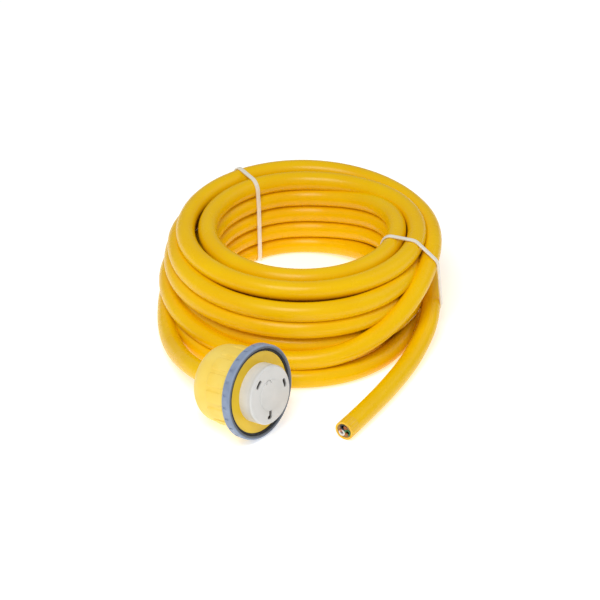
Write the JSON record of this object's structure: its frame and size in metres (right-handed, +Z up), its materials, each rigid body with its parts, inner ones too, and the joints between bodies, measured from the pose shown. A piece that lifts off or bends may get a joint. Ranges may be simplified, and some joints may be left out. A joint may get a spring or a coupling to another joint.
{
  "type": "shore power cord",
  "caption": "Round three-core shore power cable in a tied coil, with a locking connector, boot and coupling ring on one end and a flush-cut bare end on the other.",
  "frame": {"origin": "middle of the connector's footprint on the surface that everything rests on", "axes": "+Z up; the connector's nose points along -Y, tipped 10.5 degrees up; +X is to the right of someone who looks at the face"},
  "size_m": [0.3067, 0.2606, 0.0761],
  "materials": {
    "ring_grey": "moulded blue-grey nylon, satin",
    "seal_dark": "matt black rubber",
    "yellow_body": "moulded yellow nylon, semi-gloss",
    "yellow_boot": "soft yellow vinyl, satin",
    "white_nylon": "moulded white nylon, satin",
    "brass": "stamped brass",
    "zinc_steel": "zinc-plated steel",
    "nickel_steel": "nickel-plated steel",
    "green_steel": "green dipped steel",
    "core_black": "black vinyl insulation",
    "core_white": "white vinyl insulation",
    "core_green": "green vinyl insulation",
    "copper": "bare stranded copper",
    "yellow_jacket": "extruded yellow vinyl jacket, semi-gloss",
    "filler_paper": "twisted paper filler",
    "tie_nylon": "natural nylon"
  },
  "bodies": {
    "cord": {"connector_body": "yellow_body", "boot": "yellow_boot", "cable_grommet": "seal_dark", "face_insulator": "white_nylon", "face_housing": "white_nylon", "contact_carrier": "white_nylon", "contact_line": "brass", "contact_neutral": "brass", "contact_ground": "brass", "clamp_plate_line": "zinc_steel", "clamp_plate_neutral": "zinc_steel", "clamp_plate_ground": "zinc_steel", "terminal_screw_line": "brass", "terminal_screw_neutral": "nickel_steel", "terminal_screw_ground": "green_steel", "conductor_black": "core_black", "conductor_white": "core_white", "conductor_green": "core_green", "conductor_strands": "copper", "assembly_screws": "zinc_steel", "cord_clamp_upper": "white_nylon", "cord_clamp_lower": "white_nylon", "cord_clamp_screws": "zinc_steel", "cable_lead": "yellow_jacket", "cable_coil": "yellow_jacket", "cable_tail": "yellow_jacket", "end_jacket": "yellow_jacket", "end_core_black": "core_black", "end_core_white": "core_white", "end_core_green": "core_green", "end_strands": "copper", "end_filler": "filler_paper", "tie_back": "tie_nylon", "tie_side": "tie_nylon"},
    "seal": {"ring_gasket": "seal_dark"},
    "ring": {"coupling_ring": "ring_grey"}
  },
  "joints": [
    {"name": "ring_slide", "type": "slide", "parent": "cord", "child": "seal", "axis": [0, -0.9833, 0.1822], "range_m": [0, 0.0026]},
    {"name": "ring_turn", "type": "hinge", "parent": "seal", "child": "ring", "pos_m": [0, -0.0187, 0.0366], "axis": [0, -0.9833, 0.1822], "continuous": true}
  ]
}
